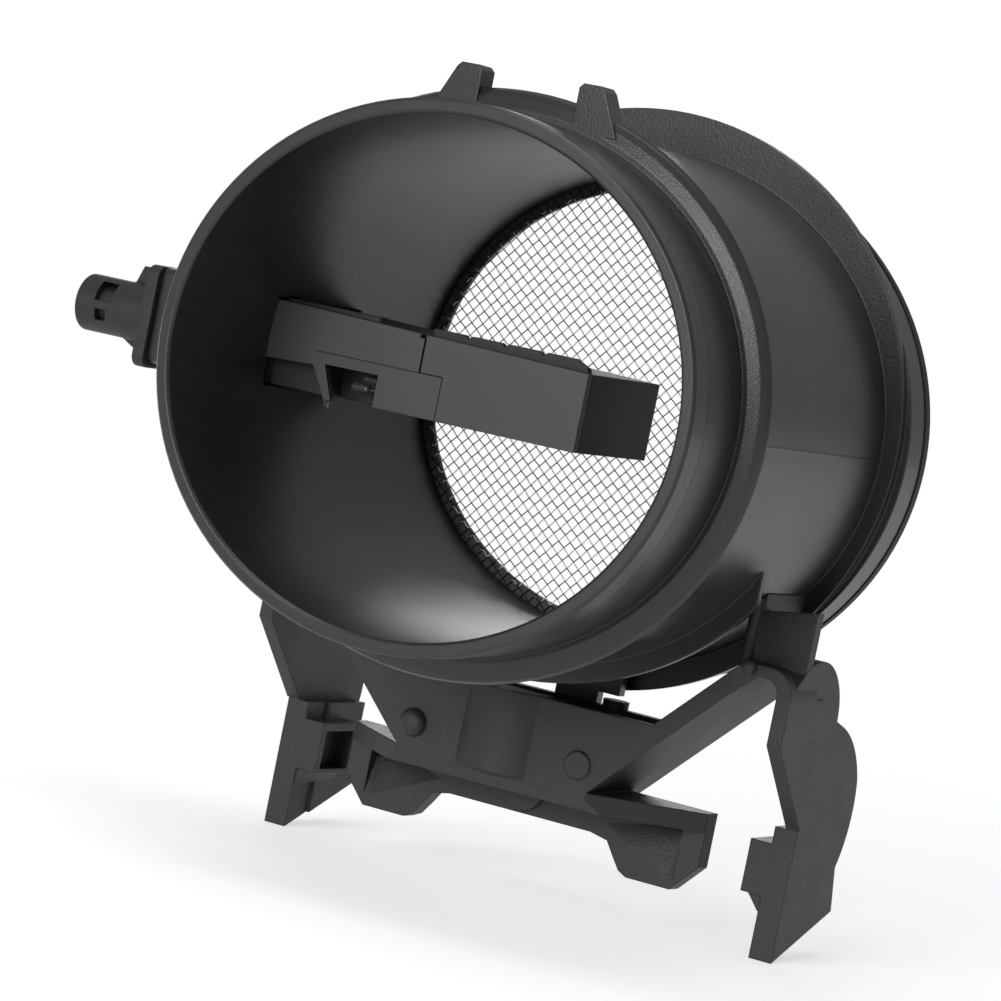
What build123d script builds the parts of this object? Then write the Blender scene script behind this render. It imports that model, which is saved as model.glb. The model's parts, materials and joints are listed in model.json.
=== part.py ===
from build123d import *
from math import cos, radians, sin, sqrt
import os

os.makedirs("parts", exist_ok=True)

# Mass airflow sensor, millimetres.
# X runs across the tube with the plug at -X, Y runs along the tube from the hose mouth to
# the filter end, Z is up. The origin is the centre of the hose mouth.

# Tube: every section is an oval, given by its half width and half height
half_width = 48.5                # outside of the hose spigot
half_height = 44.0
wall = 2.2                       # at the mouth
bore_draft = 1.3                 # the bore narrows by this towards the screen
mouth_bevel = 0.45
lip_length = 5.3                 # sealing land at the mouth
lip_height = 0.3
spigot_length = 18.0
body_length = 56.8               # from the spigot to the flange
body_step = 0.8                  # the body stands this far outside the spigot
# bead in front of the body: distance behind the spigot and height over it
bead_profile = [(0.0, 0.95), (0.6, 2.9), (1.2, 3.9), (2.0, 4.3), (3.0, 3.95),
                (4.2, 2.9), (5.6, 1.6), (7.0, 0.8)]
flange_thickness = 1.6
flange_half_width = 52.2
flange_half_height = 50.6
flange_lift = 1.2
collar_step = 5.0                # collar behind the flange, over the spigot
collar_squash = 1.6              # the collar is this much flatter than the spigot's outline
collar_length = 5.8
groove_width = 3.0
groove_depth = 2.9
end_lip = 1.2
end_lip_drop = 0.8
parting_width = 0.25             # moulding lines along the sides
parting_height = 0.12

# Screen at the filter end
ledge = 1.3                      # the screen is this much wider than the bore
ring_step = 1.9                  # the ring's opening is this much smaller than the bore
screen_thickness = 0.6
screen_fit = 0.15
ring_length = 1.8
ring_bevel = 0.8
mesh_pitch = 7.2
mesh_turn = 49.5                 # degrees from level
mesh_wire = 1.1

# Rubber lip seal
seal_gap = 0.55
seal_proud = 0.15
seal_bevel = 0.7

# Hose lugs on the bead, with heights over the spigot
lug_inner = 9.0
lug_outer = 17.2
lug_top_outer = 13.7
lug_top = 7.0
lug_foot = -1.0
lug_bevel = 0.75
lug_length = 4.3

# Rib under the body
rib_setback = 31.4               # behind the spigot
rib_thickness = 1.2
rib_height = 3.3
rib_reach = 43.7
rib_end_z = -19.0

# Tongue under the body
tongue_x = (0.1, 12.3)
tongue_drop = 5.0
tongue_tip_x = 8.3
tongue_tip_drop = 8.2
tongue_thickness = 2.2
tongue_gap = 1.7                 # in front of the flange

# Plug-in probe, measured along its own axis, which is parallel to X
probe_setback = 25.5             # behind the spigot
probe_chord = 27.0
probe_top = 6.7                  # at the wall of the bore
probe_drop = 1.4                 # the top falls by this towards the tip
probe_bottom = -7.75
probe_tip_x = 14.8
cover_thickness = 1.5
probe_wall = 1.3
cover_gap = 0.12
slit_gap = 0.35
base_end_x = -16.3
slot_fit = 0.3
neck_wall = 1.3
neck_floor = 0.6
neck_roof = 0.5
neck_end_x = -68.0
collar_x = -56.0                 # the shaft is higher from the plate to here
key_height = 0.5                 # key along the top of the shaft
key_end_x = -27.0
key_inset = 3.0
key_width = 3.0
plate_thickness = 2.3
plate_corner = 1.6
crest_top = 7.3
crest_end_x = 13.5
crest_setback = 0.3
crest_thickness = 1.4
notch_x = (-9.4, -2.3, 4.9)
notch_half_width = 0.9
notch_depth = 0.65
inlet_x = (2.0, 11.0)
inlet_z = (-3.4, 3.6)
rear_wall = 1.6
window_x = (-35.2, -23.7)
window_top = -2.3
window_depth = 9.0
window_bar_length = 4.2
window_bar_setback = 3.0
window_bar_drop = (1.6, 0.7)     # of its lower and upper side under the window's top
# slanted leg beside the window
window_leg = [(-34.2, -2.4), (-31.9, -8.0), (-32.9, -8.7), (-36.4, -2.9)]
leg_pin = (-32.4, 0.4, -9.6)     # its position along X, radius and lower end
cover_foot = -3.3
score_z = -0.45                  # fine moulding line across the cover
score_size = 0.14
seam_foot_x = -11.7
seam_notch = (0.9, 0.7)          # width and depth at the top of the seam

# Plug barrel
barrel_radius = 5.05
barrel_length = 21.2
barrel_z = -1.1
barrel_wall = 1.9
barrel_depth = 15.0
barrel_round = 0.4
root_radius = 5.4                # stop for the plug at the barrel's root
root_length = 11.7
# webs above and below the root: height and slant
webs = [(1, 2.8, 1.1), (-1, 0.8, 1.7)]
web_thickness = 2.4
latch_depth = 1.4
latch_x = (4.0, 7.4)             # from the open end of the barrel
latch_z = (0.7, 4.1)
small_latch_x = (4.4, 6.6)
small_latch_z = (-2.7, -0.7)
pin_size = 0.64
pin_pitch = 2.6
pin_stick_out = 9.0
pin_tail = 4.0

# Electronics in the probe
board_depth = 11.0               # from the front of the probe to the board
board_thickness = 1.0
base_thickness = 0.8
board_clearance = 0.4
pocket_x = (-43.5, -39.3)        # where the terminals come out beside the board
carrier_length = 16.0
carrier_height = 3.6
carrier_fit = 0.1
film_chip = (3.2, 2.2, 0.4)
signal_chip = (6.0, 4.0, 1.2)
capacitor = (1.6, 1.8, 1.0)
board_gap = 0.8                  # from the terminals to the board
carrier_reach = 8.4              # into the channel
chip_setback = 1.4
o_ring_radius = 0.9
o_ring_x = -62.0
o_ring_groove = 1.2
bead_radius = 0.9
bead_length = 3.6
lead_radius = 0.25
lead_fit = 0.05
lead_depth = 1.2

# Bracket: depths run back from the front of its panel, drops run down from the underside of the spigot
bracket_lead = 22.3              # the panel stands this far in front of the flange
panel_thickness = 2.2
panel_top = 6.3
panel_foot = 20.2
panel_half_width = 18.6
panel_top_x = 29.0
boss_half_width = 6.8
boss_bulge = 2.4
strut_thickness = 3.1
strut_depth = 22.5
strut_lap = 1.0                  # the struts reach this far into the shelf
front_slant = 1.4                # the arch's front stands this far behind the panel's
arch_top = -7.7
arch_floor = -5.8
arch_depth = 12.4
arch_round = 4.6
arch_inner_round = 2.6
leg_outer_x = 51.1
leg_thickness = 2.6
band_step = 0.35                 # the front band stands this far outside the lobes
band_foot = 5.0
heel = (16.7, 19.5)              # depth and drop of the corner behind the slanted edge
# rear edge of the front band, as depths and drops
band_edge = [(17.1, 9.2), (16.0, 8.4), (17.4, 3.7), (17.0, 0.0), (15.4, -3.2)]
lobe_start = (8.0, -8.6)
lobe_bend = (21.6, -5.4)
lobe_notch = (23.8, 0.6)
lobe_shoulder = (27.2, 1.6)
lobe_middle = (34.9, 6.4)
lobe_crest = (38.0, 11.0)
lobe_rear = (38.7, 18.6)
lobe_foot = (36.1, 26.4)
sole_front = 42.3                # drop of the sole at the leg's front
sole_rear = (38.3, 34.2)
sole_width = 4.6
rear_step = 0.6                  # the rear of the lower leg is thicker by this
rear_step_depth = 23.5
jaw_x = 42.6
jaw_drop = (22.5, 31.6)
jaw_back = 29.5
jaw_foot_x = (43.9, 46.2)
jaw_foot_drop = 34.3
jaw_wall = 1.5
column_x = 40.7
column_depth = 6.5
column_thickness = 2.4
column_top = (-16.2, -17.8)      # drops at its inner and outer edge
column_rib = 2.1
column_foot_drop = 3.5           # below the top of the arch
column_slant = 2.5
column_lap = 0.4                 # of the column into the leg and of the rib into the column
nub_inset = (0.2, 0.9)           # from the column's edge and the top of the arch
nub_radius = 1.15
shelf_thickness = 3.3
shelf_bevel = 2.2
skirt_depth = 14.5
skirt_thickness = 2.2
skirt_foot = 28.4
skirt_half_width = 14.0
foot_x = 35.1
foot_depth = 18.2
foot_outline = [(17.4, 29.1), (18.9, 31.3), (20.6, 33.6), (22.2, 34.4), (30.6, 34.4), (35.1, 29.6)]
pocket_start = (16.2, 26.2)
pocket_tip = (29.8, 32.6)
pocket_end_x = 30.9
pocket_depth = 2.8
rear_wall_drop = 6.9
rear_wall_thickness = 2.2
peg_x = 12.7
peg_radius = 2.3
peg_drop = 5.6
tab_radius = 4.4
tab_thickness = 1.2
button_x = 16.1
button_drop = 16.0
button_radius = 2.45
button_heights = (1.4, 0.5)
button_rounds = (0.9, 0.2)


def across(y, up=0.0):
    # section plane square to the tube, with X to the right and Z up
    return Plane(origin=(0, y, up), x_dir=(1, 0, 0), z_dir=(0, -1, 0))


def side(x):
    # plane square to X, with Y to the right and Z up
    return Plane(origin=(x, 0, 0), x_dir=(0, 1, 0), z_dir=(1, 0, 0))


def oval(step, y0, y1, mode=Mode.ADD, squash=0.0):
    # stretch of the tube, step outside the spigot
    with BuildSketch(across(y0)) as section:
        Ellipse(half_width + step, half_height + step - squash)
    extrude(section.sketch, amount=-(y1 - y0), mode=mode)


def cone(step0, y0, step1, y1, mode=Mode.ADD):
    with BuildSketch(across(y0)) as first:
        Ellipse(half_width + step0, half_height + step0)
    with BuildSketch(across(y1)) as last:
        Ellipse(half_width + step1, half_height + step1)
    loft([first.sketch.face(), last.sketch.face()], mode=mode)


def block(x, y, z, mode=Mode.ADD):
    # box between two corners, each argument a pair of limits
    with BuildSketch(across(y[0])) as section:
        with Locations(((x[0] + x[1]) / 2, (z[0] + z[1]) / 2)):
            Rectangle(abs(x[1] - x[0]), abs(z[1] - z[0]))
    extrude(section.sketch, amount=-(y[1] - y[0]), mode=mode)


def outline(points, y0, y1, mode=Mode.ADD):
    # closed outline in X and Z, run along Y
    with BuildSketch(across(y0)) as section:
        Polygon(*points, align=None)
    extrude(section.sketch, amount=-(y1 - y0), mode=mode)


def profile(points, x0, x1, mode=Mode.ADD):
    # closed outline in Y and Z, run along X
    with BuildSketch(side(x0)) as section:
        Polygon(*points, align=None)
    extrude(section.sketch, amount=x1 - x0, mode=mode)


def mirrored(points):
    return [(-x, z) for x, z in reversed(points)]


def below(drop):
    # height of a point of the bracket
    return -half_height - drop


def behind(depth):
    return bracket_y + depth


def beside(points):
    # side view of bracket points given as depths and drops
    return [(behind(depth), below(drop)) for depth, drop in points]


def nearest(sketch, x, z):
    return min(sketch.vertices(), key=lambda v: (v.X - x) ** 2 + (v.Y - z) ** 2)


def top_at(x):
    # the probe's top falls towards its tip
    return probe_top - probe_drop * (x - wall_x) / (probe_tip_x - wall_x)


flange_y = spigot_length + body_length
flange_back = flange_y + flange_thickness
collar_end = flange_back + collar_length
groove_end = collar_end + groove_width
tube_end = groove_end + end_lip
ring_y = tube_end - ring_length
screen_y = ring_y - screen_thickness
bore_back = -wall - bore_draft
body_half_width = half_width + body_step
rib_y = spigot_length + rib_setback
bracket_y = flange_y - bracket_lead

probe_y = spigot_length + probe_setback
probe_front = probe_y - probe_chord / 2
probe_back = probe_y + probe_chord / 2
key_top = probe_top + key_height
slot_y = (probe_front - slot_fit, probe_back + slot_fit)
slot_z = (probe_bottom - slot_fit, probe_top + slot_fit)
collar_slot_z = (slot_z[0], key_top + slot_fit)
neck_y = (slot_y[0] - neck_wall, slot_y[1] + neck_wall)
neck_z = (slot_z[0] - neck_floor, collar_slot_z[1] + neck_roof)
key_y = (probe_front + key_inset, probe_front + key_inset + key_width)
wall_x = -(half_width - wall - bore_draft / 2)       # bore wall beside the probe

# Tube housing, one moulding
with BuildPart() as tube_housing:
    cone(-mouth_bevel, 0, 0, mouth_bevel)
    oval(0, mouth_bevel, spigot_length)
    cone(lip_height - mouth_bevel, 0, lip_height, mouth_bevel)
    oval(lip_height, mouth_bevel, lip_length)
    for (y0, step0), (y1, step1) in zip(bead_profile, bead_profile[1:]):
        cone(step0, spigot_length + y0, step1, spigot_length + y1)
    oval(body_step, spigot_length + bead_profile[-1][0], flange_back)
    with BuildSketch(across(flange_y, flange_lift)) as flange:
        Ellipse(flange_half_width, flange_half_height)
    extrude(flange.sketch, amount=-flange_thickness)
    oval(collar_step, flange_back, collar_end, squash=collar_squash)
    oval(collar_step - groove_depth, collar_end, groove_end, squash=collar_squash)
    oval(collar_step - end_lip_drop, groove_end, tube_end, squash=collar_squash)
    # socket for the probe
    with BuildSketch(side(neck_end_x)) as neck:
        with Locations((sum(neck_y) / 2, sum(neck_z) / 2)):
            RectangleRounded(neck_y[1] - neck_y[0], neck_z[1] - neck_z[0], plate_corner)
    extrude(neck.sketch, amount=-half_width / 2 - neck_end_x)
    # hose lugs, mirrored about the middle
    lug_z = half_height + lug_top
    lug = [(lug_inner, half_height + lug_foot), (lug_outer, half_height + lug_foot),
           (lug_top_outer, lug_z - lug_bevel),
           (lug_top_outer - lug_bevel, lug_z), (lug_inner + lug_bevel, lug_z), (lug_inner, lug_z - lug_bevel)]
    outline(lug, spigot_length, spigot_length + lug_length)
    outline(mirrored(lug), spigot_length, spigot_length + lug_length)
    # rib and tongue under the body
    with BuildSketch(across(rib_y)) as rib:
        Ellipse(body_half_width + rib_height, half_height + body_step + rib_height)
        with Locations((0, rib_end_z - half_height)):
            Rectangle(2 * rib_reach, 2 * half_height, mode=Mode.INTERSECT)
    extrude(rib.sketch, amount=-rib_thickness)
    tongue = [(tongue_x[0], 1 - half_height), (tongue_x[0], -half_height - tongue_tip_drop),
              (tongue_tip_x, -half_height - tongue_tip_drop), (tongue_tip_x, -half_height - tongue_drop),
              (tongue_x[1], -half_height - tongue_drop), (tongue_x[1], 1 - half_height)]
    tongue_back = flange_y - tongue_gap
    outline(tongue, tongue_back - tongue_thickness, tongue_back)
    # moulding line along the open side
    block((half_width, body_half_width + parting_height), (spigot_length + bead_profile[-1][0], flange_y),
          (-parting_width / 2, parting_width / 2))
    # bore and the seat of the screen
    cone(-wall + mouth_bevel, 0, -wall, mouth_bevel, mode=Mode.SUBTRACT)
    cone(-wall, 0, bore_back, screen_y, mode=Mode.SUBTRACT)
    oval(bore_back + ledge, screen_y, tube_end, mode=Mode.SUBTRACT)
    # slot of the shaft, with a keyway and a higher mouth
    block((neck_end_x, -half_width / 2), slot_y, slot_z, mode=Mode.SUBTRACT)
    block((neck_end_x, -half_width / 2), (key_y[0] - slot_fit, key_y[1] + slot_fit), collar_slot_z,
          mode=Mode.SUBTRACT)
    block((neck_end_x, collar_x + slot_fit), slot_y, collar_slot_z, mode=Mode.SUBTRACT)
tube_housing.part.label = "tube_housing"
export_step(tube_housing.part, "parts/tube_housing.step")

# Woven screen: one wall with a lattice of square gaps set on the diagonal
screen_step = bore_back + ledge - screen_fit
with BuildPart() as mesh_screen:
    oval(screen_step, screen_y, ring_y)
    open_width = half_width + bore_back - ring_step / 2
    open_height = half_height + bore_back - ring_step / 2
    columns = int(open_width / mesh_pitch) + 2
    gap = mesh_pitch - mesh_wire
    turn = radians(mesh_turn)
    gaps = []
    for i in range(-columns, columns + 1):
        for j in range(-columns, columns + 1):
            x = (i * cos(turn) - j * sin(turn)) * mesh_pitch
            z = (i * sin(turn) + j * cos(turn)) * mesh_pitch
            reach = gap / 3
            if ((abs(x) + reach) / open_width) ** 2 + ((abs(z) + reach) / open_height) ** 2 < 1:
                gaps.append((x, z))
    with BuildSketch(across(screen_y)) as holes:
        with Locations(*gaps):
            Rectangle(gap, gap, rotation=mesh_turn)
        Ellipse(open_width, open_height, mode=Mode.INTERSECT)
    extrude(holes.sketch, amount=-screen_thickness, mode=Mode.SUBTRACT)
mesh_screen.part.label = "mesh_screen"
export_step(mesh_screen.part, "parts/mesh_screen.step")

# Ring that holds the screen against its ledge
with BuildPart() as mesh_retainer_ring:
    oval(screen_step, ring_y, tube_end)
    oval(bore_back - ring_step, ring_y, tube_end, mode=Mode.SUBTRACT)
    chamfer(mesh_retainer_ring.faces().sort_by(Axis.Y)[-1].inner_wires().edges(), ring_bevel)
mesh_retainer_ring.part.label = "mesh_retainer_ring"
export_step(mesh_retainer_ring.part, "parts/mesh_retainer_ring.step")

# Rubber lip seal in the groove of the collar
with BuildPart() as rear_seal:
    oval(collar_step + seal_proud, collar_end + seal_gap, groove_end, squash=collar_squash)
    oval(collar_step - groove_depth, collar_end + seal_gap, groove_end, mode=Mode.SUBTRACT,
         squash=collar_squash)
    chamfer(rear_seal.faces().sort_by(Axis.Y)[-1].outer_wire().edges(), seal_bevel)
rear_seal.part.label = "rear_seal"
export_step(rear_seal.part, "parts/rear_seal.step")

# Sensor body, one moulding: plate, plug barrel, shaft and the open tray of the probe
plate_outer_x = neck_end_x - plate_thickness
barrel_end_x = plate_outer_x - barrel_length
tray_front = probe_front + cover_thickness + cover_gap
cover_x = wall_x - 0.9
board_bay = (pocket_x[0], base_end_x - probe_wall)
board_y = probe_front + board_depth
board_bay_back = board_y + board_thickness + base_thickness
pocket_back = probe_y + pin_pitch + pin_size
channel_bay = (base_end_x + probe_wall, probe_tip_x - probe_wall)
inner_z = (probe_bottom + probe_wall, top_at(probe_tip_x) - probe_wall)
window_back = probe_front + window_depth
board_bay_z = (window_top + 1.0, inner_z[1])
pocket_z = (barrel_z - pin_pitch / 2 - pin_size, inner_z[1])
thermistor = (window_x[1] - 3.2, probe_front + 4.2, -5.2)      # its right end and its axis
carrier_z = (board_bay_z[0] + 1.2, board_bay_z[0] + 1.2 + carrier_height)
pins = [(probe_y + a * pin_pitch / 2, barrel_z + b * pin_pitch / 2) for a in (-1, 1) for b in (-1, 1)]
pin_ends = (barrel_end_x + barrel_depth - pin_stick_out, board_bay[0] + pin_tail)

with BuildPart() as sensor_body:
    with BuildSketch(side(neck_end_x)) as plate:
        with Locations(((neck_y[0] + neck_y[1]) / 2, (neck_z[0] + neck_z[1]) / 2)):
            RectangleRounded(neck_y[1] - neck_y[0], neck_z[1] - neck_z[0], plate_corner)
    extrude(plate.sketch, amount=-plate_thickness)
    # shaft and tray
    outline([(neck_end_x, probe_bottom), (probe_tip_x, probe_bottom), (probe_tip_x, top_at(probe_tip_x)),
             (wall_x, probe_top), (neck_end_x, probe_top)], tray_front, probe_back)
    block((neck_end_x, cover_x - cover_gap), (probe_front, probe_back), (probe_bottom, probe_top))
    block((neck_end_x, collar_x), (probe_front, probe_back), (probe_bottom, key_top))
    block((collar_x, key_end_x), key_y, (0, key_top))
    # notched crest along the top of the tray
    crest_y = tray_front + crest_setback
    crest = [(base_end_x + 0.4, inner_z[1]), (base_end_x + 0.4, crest_top)]
    for x in notch_x:
        crest += [(x - notch_half_width, crest_top), (x, crest_top - notch_depth),
                  (x + notch_half_width, crest_top)]
    crest += [(crest_end_x - 2.6, crest_top), (crest_end_x, crest_top - 1.2), (crest_end_x + 0.6, inner_z[1])]
    outline(crest, crest_y, crest_y + crest_thickness)
    # plug barrel, thicker at its root
    for radius, length in ((root_radius, root_length), (barrel_radius, barrel_length)):
        with BuildSketch(side(plate_outer_x)) as barrel:
            with Locations((probe_y, barrel_z)):
                Circle(radius)
        extrude(barrel.sketch, amount=-length)
    fillet(sensor_body.edges().filter_by(GeomType.CIRCLE).sort_by(Axis.X)[0], barrel_round)
    root_end_x = plate_outer_x - root_length
    for sign, height, run in webs:
        inner = barrel_z + sign * (root_radius - 1.0)
        outer = barrel_z + sign * (root_radius + height)
        outline([(plate_outer_x + 0.3, inner), (root_end_x, inner),
                 (root_end_x, barrel_z + sign * (root_radius - 0.1)),
                 (root_end_x + run, outer), (plate_outer_x + 0.3, outer)],
                probe_y - web_thickness / 2, probe_y + web_thickness / 2)
    # latch windows, then the core and the socket of the plug
    for x, z in ((latch_x, latch_z), (small_latch_x, small_latch_z)):
        block((barrel_end_x + x[0], barrel_end_x + x[1]), (probe_y - barrel_radius - 1, probe_y),
              (barrel_z + z[0], barrel_z + z[1]), mode=Mode.SUBTRACT)
    with BuildSketch(side(barrel_end_x + latch_x[0] - 1)) as core:
        with Locations((probe_y, barrel_z)):
            Circle(barrel_radius - latch_depth)
    extrude(core.sketch, amount=latch_x[1] - latch_x[0] + 2)
    with BuildSketch(side(barrel_end_x)) as socket:
        with Locations((probe_y, barrel_z)):
            Circle(barrel_radius - barrel_wall)
    extrude(socket.sketch, amount=barrel_depth, mode=Mode.SUBTRACT)
    # bays behind the covers
    block(board_bay, (probe_front, board_bay_back), board_bay_z, mode=Mode.SUBTRACT)
    block(pocket_x, (window_back - 4.0, pocket_back), pocket_z, mode=Mode.SUBTRACT)
    block(channel_bay, (probe_front, probe_back - rear_wall), inner_z, mode=Mode.SUBTRACT)
    # slot for the chip carrier, and the air inlet in the back of the channel
    block((board_bay[1] - 0.1, channel_bay[0] + 0.1),
          (board_y - carrier_fit, board_bay_back + carrier_fit),
          (carrier_z[0] - carrier_fit, carrier_z[1] + carrier_fit),
          mode=Mode.SUBTRACT)
    block(inlet_x, (probe_back - rear_wall - 0.1, probe_back + 1), inlet_z, mode=Mode.SUBTRACT)
    # air window in the lower front corner, with a rib and the holes of the leads
    block(window_x, (probe_front, window_back), (probe_bottom - 1, window_top), mode=Mode.SUBTRACT)
    block((window_x[1] - window_bar_length, window_x[1]), (probe_front + window_bar_setback, window_back),
          (window_top - window_bar_drop[0], window_top - window_bar_drop[1]))
    with BuildSketch(side(window_x[1])) as lead_hole:
        with Locations((thermistor[1], thermistor[2])):
            Circle(lead_radius + lead_fit)
    extrude(lead_hole.sketch, amount=lead_depth, mode=Mode.SUBTRACT)
    block((cover_x, window_x[0] + 0.1), (probe_front, probe_front + 3.2), (probe_bottom - 1, window_top),
          mode=Mode.SUBTRACT)
    # outlet of the channel in the lower face
    block((channel_bay[0] + 10, channel_bay[1] - 6), (probe_back - 9, probe_back - 4),
          (probe_bottom - 1, inner_z[0] + 0.1), mode=Mode.SUBTRACT)
    # groove of the sealing ring round the shaft
    groove_x = (o_ring_x - 1.3 * o_ring_radius, o_ring_x + 1.3 * o_ring_radius)
    for y in ((probe_front - 1, probe_front + o_ring_groove), (probe_back - o_ring_groove, probe_back + 1)):
        block(groove_x, y, (probe_bottom - 1, key_top + 1), mode=Mode.SUBTRACT)
    for z in ((probe_bottom - 1, probe_bottom + o_ring_groove), (key_top - o_ring_groove, key_top + 1)):
        block(groove_x, (probe_front - 1, probe_back + 1), z, mode=Mode.SUBTRACT)
    for y, z in pins:
        block(pin_ends, (y - pin_size / 2, y + pin_size / 2), (z - pin_size / 2, z + pin_size / 2),
              mode=Mode.SUBTRACT)
sensor_body.part.label = "sensor_body"
export_step(sensor_body.part, "parts/sensor_body.step")

# Sealing ring round the shaft
with BuildPart() as shaft_o_ring:
    with BuildSketch(side(o_ring_x - o_ring_radius)) as ring_outside:
        with Locations((probe_y, sum(collar_slot_z) / 2)):
            RectangleRounded(slot_y[1] - slot_y[0], collar_slot_z[1] - collar_slot_z[0], 0.6)
        with Locations((probe_y, (key_top + probe_bottom) / 2)):
            Rectangle(probe_chord - 2 * o_ring_groove, key_top - probe_bottom - 2 * o_ring_groove,
                      mode=Mode.SUBTRACT)
    extrude(ring_outside.sketch, amount=2 * o_ring_radius)
shaft_o_ring.part.label = "shaft_o_ring"
export_step(shaft_o_ring.part, "parts/shaft_o_ring.step")

# Front covers of the tray, with the stepped seam between them
tip_top = (probe_tip_x, top_at(probe_tip_x))
seam = [(base_end_x, top_at(base_end_x)), (base_end_x, score_z), (seam_foot_x, score_z),
        (seam_foot_x, probe_bottom)]
with BuildPart() as electronics_cover:
    outline([(cover_x, probe_top), (wall_x, probe_top), *seam, (window_x[1], probe_bottom),
             (window_x[1], window_top), *window_leg, (cover_x, cover_foot)],
            probe_front, probe_front + cover_thickness)
    block((window_leg[3][0], base_end_x), (probe_front - 1, probe_front + score_size),
          (score_z - score_size / 2, score_z + score_size / 2), mode=Mode.SUBTRACT)
    block((base_end_x - seam_notch[0], base_end_x + 1), (probe_front - 1, tray_front),
          (seam[0][1] - seam_notch[1], seam[0][1] + 1),
          mode=Mode.SUBTRACT)
    with BuildSketch(Plane.XY.offset(leg_pin[2])) as leg_end:
        with Locations((leg_pin[0], probe_front + cover_thickness / 2)):
            Circle(leg_pin[1])
    extrude(leg_end.sketch, amount=window_leg[1][1] - leg_pin[2])
electronics_cover.part.label = "electronics_cover"
export_step(electronics_cover.part, "parts/electronics_cover.step")

with BuildPart() as channel_cover:
    slit_x = base_end_x + slit_gap
    outline([(slit_x, top_at(slit_x)), (slit_x, score_z + cover_gap),
             (seam_foot_x + cover_gap, score_z + cover_gap),
             (seam_foot_x + cover_gap, probe_bottom), (probe_tip_x, probe_bottom), tip_top],
            probe_front, probe_front + cover_thickness)
channel_cover.part.label = "channel_cover"
export_step(channel_cover.part, "parts/channel_cover.step")

# Electronics
carrier_x = (channel_bay[0] + carrier_reach - carrier_length, channel_bay[0] + carrier_reach)
board_x = (pocket_x[1] + board_gap, carrier_x[0] - board_clearance)
board_z = (board_bay_z[0] + board_clearance, board_bay_z[1] - board_clearance)
board_back = board_y + board_thickness
with BuildPart() as base_plate:
    block(board_x, (board_back, board_back + base_thickness), board_z)
base_plate.part.label = "base_plate"
export_step(base_plate.part, "parts/base_plate.step")

with BuildPart() as circuit_board:
    block(board_x, (board_y, board_y + board_thickness), board_z)
circuit_board.part.label = "circuit_board"
export_step(circuit_board.part, "parts/circuit_board.step")

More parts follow.
